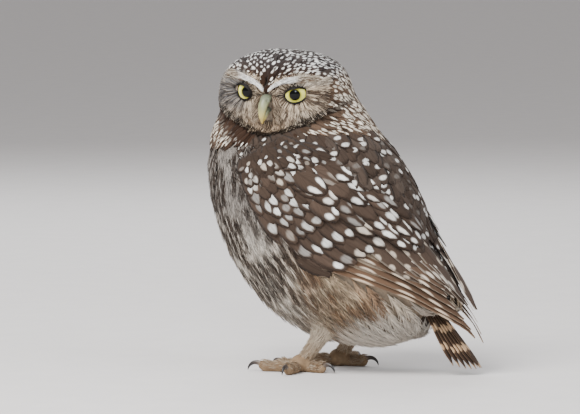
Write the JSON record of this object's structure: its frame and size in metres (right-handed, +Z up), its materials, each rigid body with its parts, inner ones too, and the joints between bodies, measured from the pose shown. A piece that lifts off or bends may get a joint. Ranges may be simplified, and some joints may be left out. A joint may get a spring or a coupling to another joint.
{
  "type": "little owl",
  "caption": "Life-size still model of a small brown owl with white spots, standing on both feet, wings folded, head turned over its left shoulder.",
  "frame": {"origin": "bottom centre of the whole bird, on the floor", "axes": "+Z up; the body faces -Y; the bird's left side is +X, and its face looks almost along +X"},
  "size_m": [0.1064, 0.173, 0.1916],
  "materials": {
    "brown_plumage": "soft brown wing and tail feathers with white spots and pale bars",
    "spotted_plumage": "short brown head feathers with small white spots, cream brows and face",
    "pale_plumage": "cream breast with brown streaks, white loose belly and leg feathers",
    "toe_skin": "buff toes with short bristly feathers and rough pads",
    "claw_horn": "dark glossy horn",
    "bill_horn": "smooth greenish yellow horn",
    "iris": "clear glossy eye, lemon yellow iris with black pupil"
  },
  "bodies": {
    "root": {"bill_lower": "bill_horn", "bill_upper": "bill_horn", "claw_left_hallux": "claw_horn", "claw_left_inner": "claw_horn", "claw_left_middle": "claw_horn", "claw_left_outer": "claw_horn", "claw_right_hallux": "claw_horn", "claw_right_inner": "claw_horn", "claw_right_middle": "claw_horn", "claw_right_outer": "claw_horn", "eye_left": "iris", "eye_right": "iris", "head": "spotted_plumage", "neck": "spotted_plumage", "tail": "brown_plumage", "tarsus_left": "pale_plumage", "tarsus_right": "pale_plumage", "thigh_left": "pale_plumage", "thigh_right": "pale_plumage", "toe_left_hallux": "toe_skin", "toe_left_inner": "toe_skin", "toe_left_middle": "toe_skin", "toe_left_outer": "toe_skin", "toe_right_hallux": "toe_skin", "toe_right_inner": "toe_skin", "toe_right_middle": "toe_skin", "toe_right_outer": "toe_skin", "torso": "pale_plumage", "wing_left": "brown_plumage", "wing_right": "brown_plumage"}
  },
  "joints": []
}
